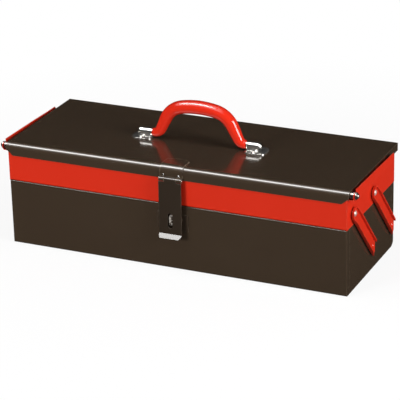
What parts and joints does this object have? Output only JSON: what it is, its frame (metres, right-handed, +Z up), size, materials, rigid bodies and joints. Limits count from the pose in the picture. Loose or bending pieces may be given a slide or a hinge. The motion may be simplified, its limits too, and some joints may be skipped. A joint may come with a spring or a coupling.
{
  "type": "cantilever tool box",
  "caption": "Steel cantilever tool box: a deep base, a full-depth tray on folding levers, a hinged lid with a fold-down carrying handle and a hasp.",
  "frame": {"origin": "centre of the flat underside of the base", "axes": "+X to the right seen from the front, along the length; -Y towards the front with the hasp; +Z up"},
  "size_m": [0.5718, 0.2223, 0.2286],
  "materials": {
    "brown_paint": "gloss",
    "red_paint": "gloss",
    "plated_steel": "bright plated",
    "red_plastic": "gloss"
  },
  "bodies": {
    "base": {"base_wrap": "brown_paint", "base_end_left": "brown_paint", "base_end_right": "brown_paint", "staple": "brown_paint", "staple_rivets": "brown_paint", "lower_pivots_left": "red_paint", "lower_pivots_right": "red_paint", "lower_washers": "plated_steel"},
    "front_levers": {"front_lever_left": "red_paint", "front_lever_right": "red_paint"},
    "rear_levers": {"rear_lever_left": "red_paint", "rear_lever_right": "red_paint"},
    "tray": {"tray_wrap": "red_paint", "tray_end_left": "red_paint", "tray_end_right": "red_paint", "tray_dividers": "red_paint", "upper_pivots_left": "plated_steel", "upper_pivots_right": "plated_steel", "upper_washers": "plated_steel", "tray_hinge_leaf": "red_paint", "hinge_pin": "plated_steel"},
    "lid": {"lid_panel": "brown_paint", "lid_hinge_leaf": "brown_paint", "corner_pin_left": "plated_steel", "corner_pin_right": "plated_steel", "corner_rings": "plated_steel", "bracket_left": "plated_steel", "bracket_right": "plated_steel", "bracket_rivets": "plated_steel", "hasp_plate": "brown_paint", "hasp_rivets": "plated_steel", "hasp_pin": "plated_steel"},
    "hasp": {"hasp_strap": "brown_paint"},
    "handle": {"handle_rod": "plated_steel", "handle_grip": "red_plastic", "handle_collars": "plated_steel"}
  },
  "joints": [
    {"name": "tray_swing", "type": "hinge", "parent": "base", "child": "front_levers", "pos_m": [0, 0.0004, 0.03859], "axis": [-1, 0, 0], "range_deg": [0, 86]},
    {"name": "rear_lever_swing", "type": "hinge", "parent": "base", "child": "rear_levers", "pos_m": [0, 0.0829, 0.03859], "axis": [-1, 0, 0], "range_deg": [0, 86]},
    {"name": "tray_level", "type": "hinge", "parent": "front_levers", "child": "tray", "pos_m": [0, -0.07598, 0.1205], "axis": [-1, 0, 0], "range_deg": [-86, 0]},
    {"name": "lid_hinge", "type": "hinge", "parent": "tray", "child": "lid", "pos_m": [0, 0.1028, 0.151], "axis": [-1, 0, 0], "range_deg": [0, 105]},
    {"name": "hasp_swing", "type": "hinge", "parent": "lid", "child": "hasp", "pos_m": [0, -0.10495, 0.143], "axis": [-1, 0, 0], "range_deg": [0, 146.2]},
    {"name": "handle_fold", "type": "hinge", "parent": "lid", "child": "handle", "pos_m": [0, 0, 0.17], "axis": [-1, 0, 0], "range_deg": [-80, 80]}
  ],
  "couplings": [
    {"joint": "rear_lever_swing", "follows": "tray_swing", "ratio": 1},
    {"joint": "tray_level", "follows": "tray_swing", "ratio": -1},
    {"joint": "hasp_swing", "follows": "tray_swing", "ratio": 1.7}
  ]
}
